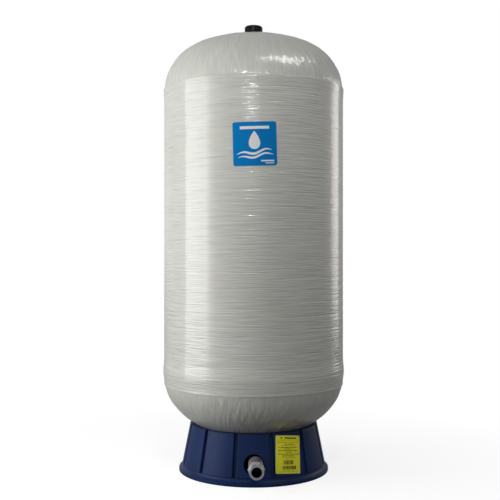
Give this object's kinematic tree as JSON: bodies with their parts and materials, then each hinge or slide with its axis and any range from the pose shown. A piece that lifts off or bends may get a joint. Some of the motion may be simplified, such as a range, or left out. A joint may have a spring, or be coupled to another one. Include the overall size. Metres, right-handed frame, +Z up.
{
  "type": "diaphragm pressure tank",
  "caption": "Upright fibre-wound water pressure tank on a flared moulded skirt, with a screwed cover over its air valve and a threaded water pipe at the foot.",
  "frame": {"origin": "on the tank's axis, in the plane of the skirt's foot", "axes": "+Z up along the tank's axis; the water pipe points along -Y, the tank's front"},
  "size_m": [0.5451, 0.5686, 1.3371],
  "materials": {
    "wound_glass_fibre": "clear resin over wound glass fibre, fine ridges",
    "liner_plastic": "natural moulded plastic",
    "butyl_rubber": "matt black rubber",
    "clench_steel": "rolled strip",
    "boss_plastic": "moulded glass-filled plastic",
    "seal_rubber": "smooth black rubber",
    "valve_brass": "turned",
    "spring_steel": "drawn wire",
    "cap_plastic": "moulded",
    "cover_plastic": "moulded, slight sheen",
    "stainless_boss": "turned",
    "cast_pipe_metal": "grey cast surface with a machined end",
    "skirt_plastic": "moulded dark blue, slight sheen",
    "seat_adhesive": "bead of black adhesive",
    "front_sticker_print": "printed film",
    "side_sticker_print": "printed film"
  },
  "bodies": {
    "tank": {"composite_shell": "wound_glass_fibre", "upper_liner": "liner_plastic", "lower_liner": "liner_plastic", "diaphragm": "butyl_rubber", "clench_ring": "clench_steel", "top_boss": "boss_plastic", "inlet_diffuser": "boss_plastic", "top_boss_ring": "seal_rubber", "stem_seal": "seal_rubber", "bottom_boss_ring": "seal_rubber", "elbow_ring": "seal_rubber", "valve_stem": "valve_brass", "valve_core": "valve_brass", "valve_spring": "spring_steel", "bottom_boss": "stainless_boss", "water_elbow": "cast_pipe_metal", "base_skirt": "skirt_plastic", "seat_bead": "seat_adhesive", "front_sticker": "front_sticker_print", "side_sticker": "side_sticker_print"},
    "cover_gasket": {"cover_gasket": "seal_rubber"},
    "valve_cover": {"valve_cover": "cover_plastic"},
    "stem_cap_washer": {"stem_cap_washer": "seal_rubber"},
    "stem_cap": {"stem_cap": "cap_plastic"},
    "valve_pin": {"valve_pin": "valve_brass", "valve_pin_seal": "seal_rubber"}
  },
  "joints": [
    {"name": "cover_lift", "type": "slide", "parent": "tank", "child": "cover_gasket", "axis": [0, 0, 1], "range_m": [0, 0.012]},
    {"name": "cover_turn", "type": "hinge", "parent": "cover_gasket", "child": "valve_cover", "pos_m": [0, 0, 1.32], "axis": [0, 0, 1], "range_deg": [0, 1441]},
    {"name": "stem_cap_lift", "type": "slide", "parent": "tank", "child": "stem_cap_washer", "axis": [0, 0, 1], "range_m": [0, 0.00476]},
    {"name": "stem_cap_turn", "type": "hinge", "parent": "stem_cap_washer", "child": "stem_cap", "pos_m": [0, 0, 1.32], "axis": [0, 0, 1], "range_deg": [0, 2161]},
    {"name": "valve_pin_press", "type": "slide", "parent": "tank", "child": "valve_pin", "axis": [0, 0, -1], "range_m": [0, 0.0012], "stiffness_N_per_m": 600, "springref_m": -0.0015, "deforming": ["valve_spring"]}
  ],
  "couplings": [
    {"joint": "cover_turn", "follows": "cover_lift", "rad_per_m": 2094.4},
    {"joint": "stem_cap_turn", "follows": "stem_cap_lift", "rad_per_m": 7913.3}
  ]
}
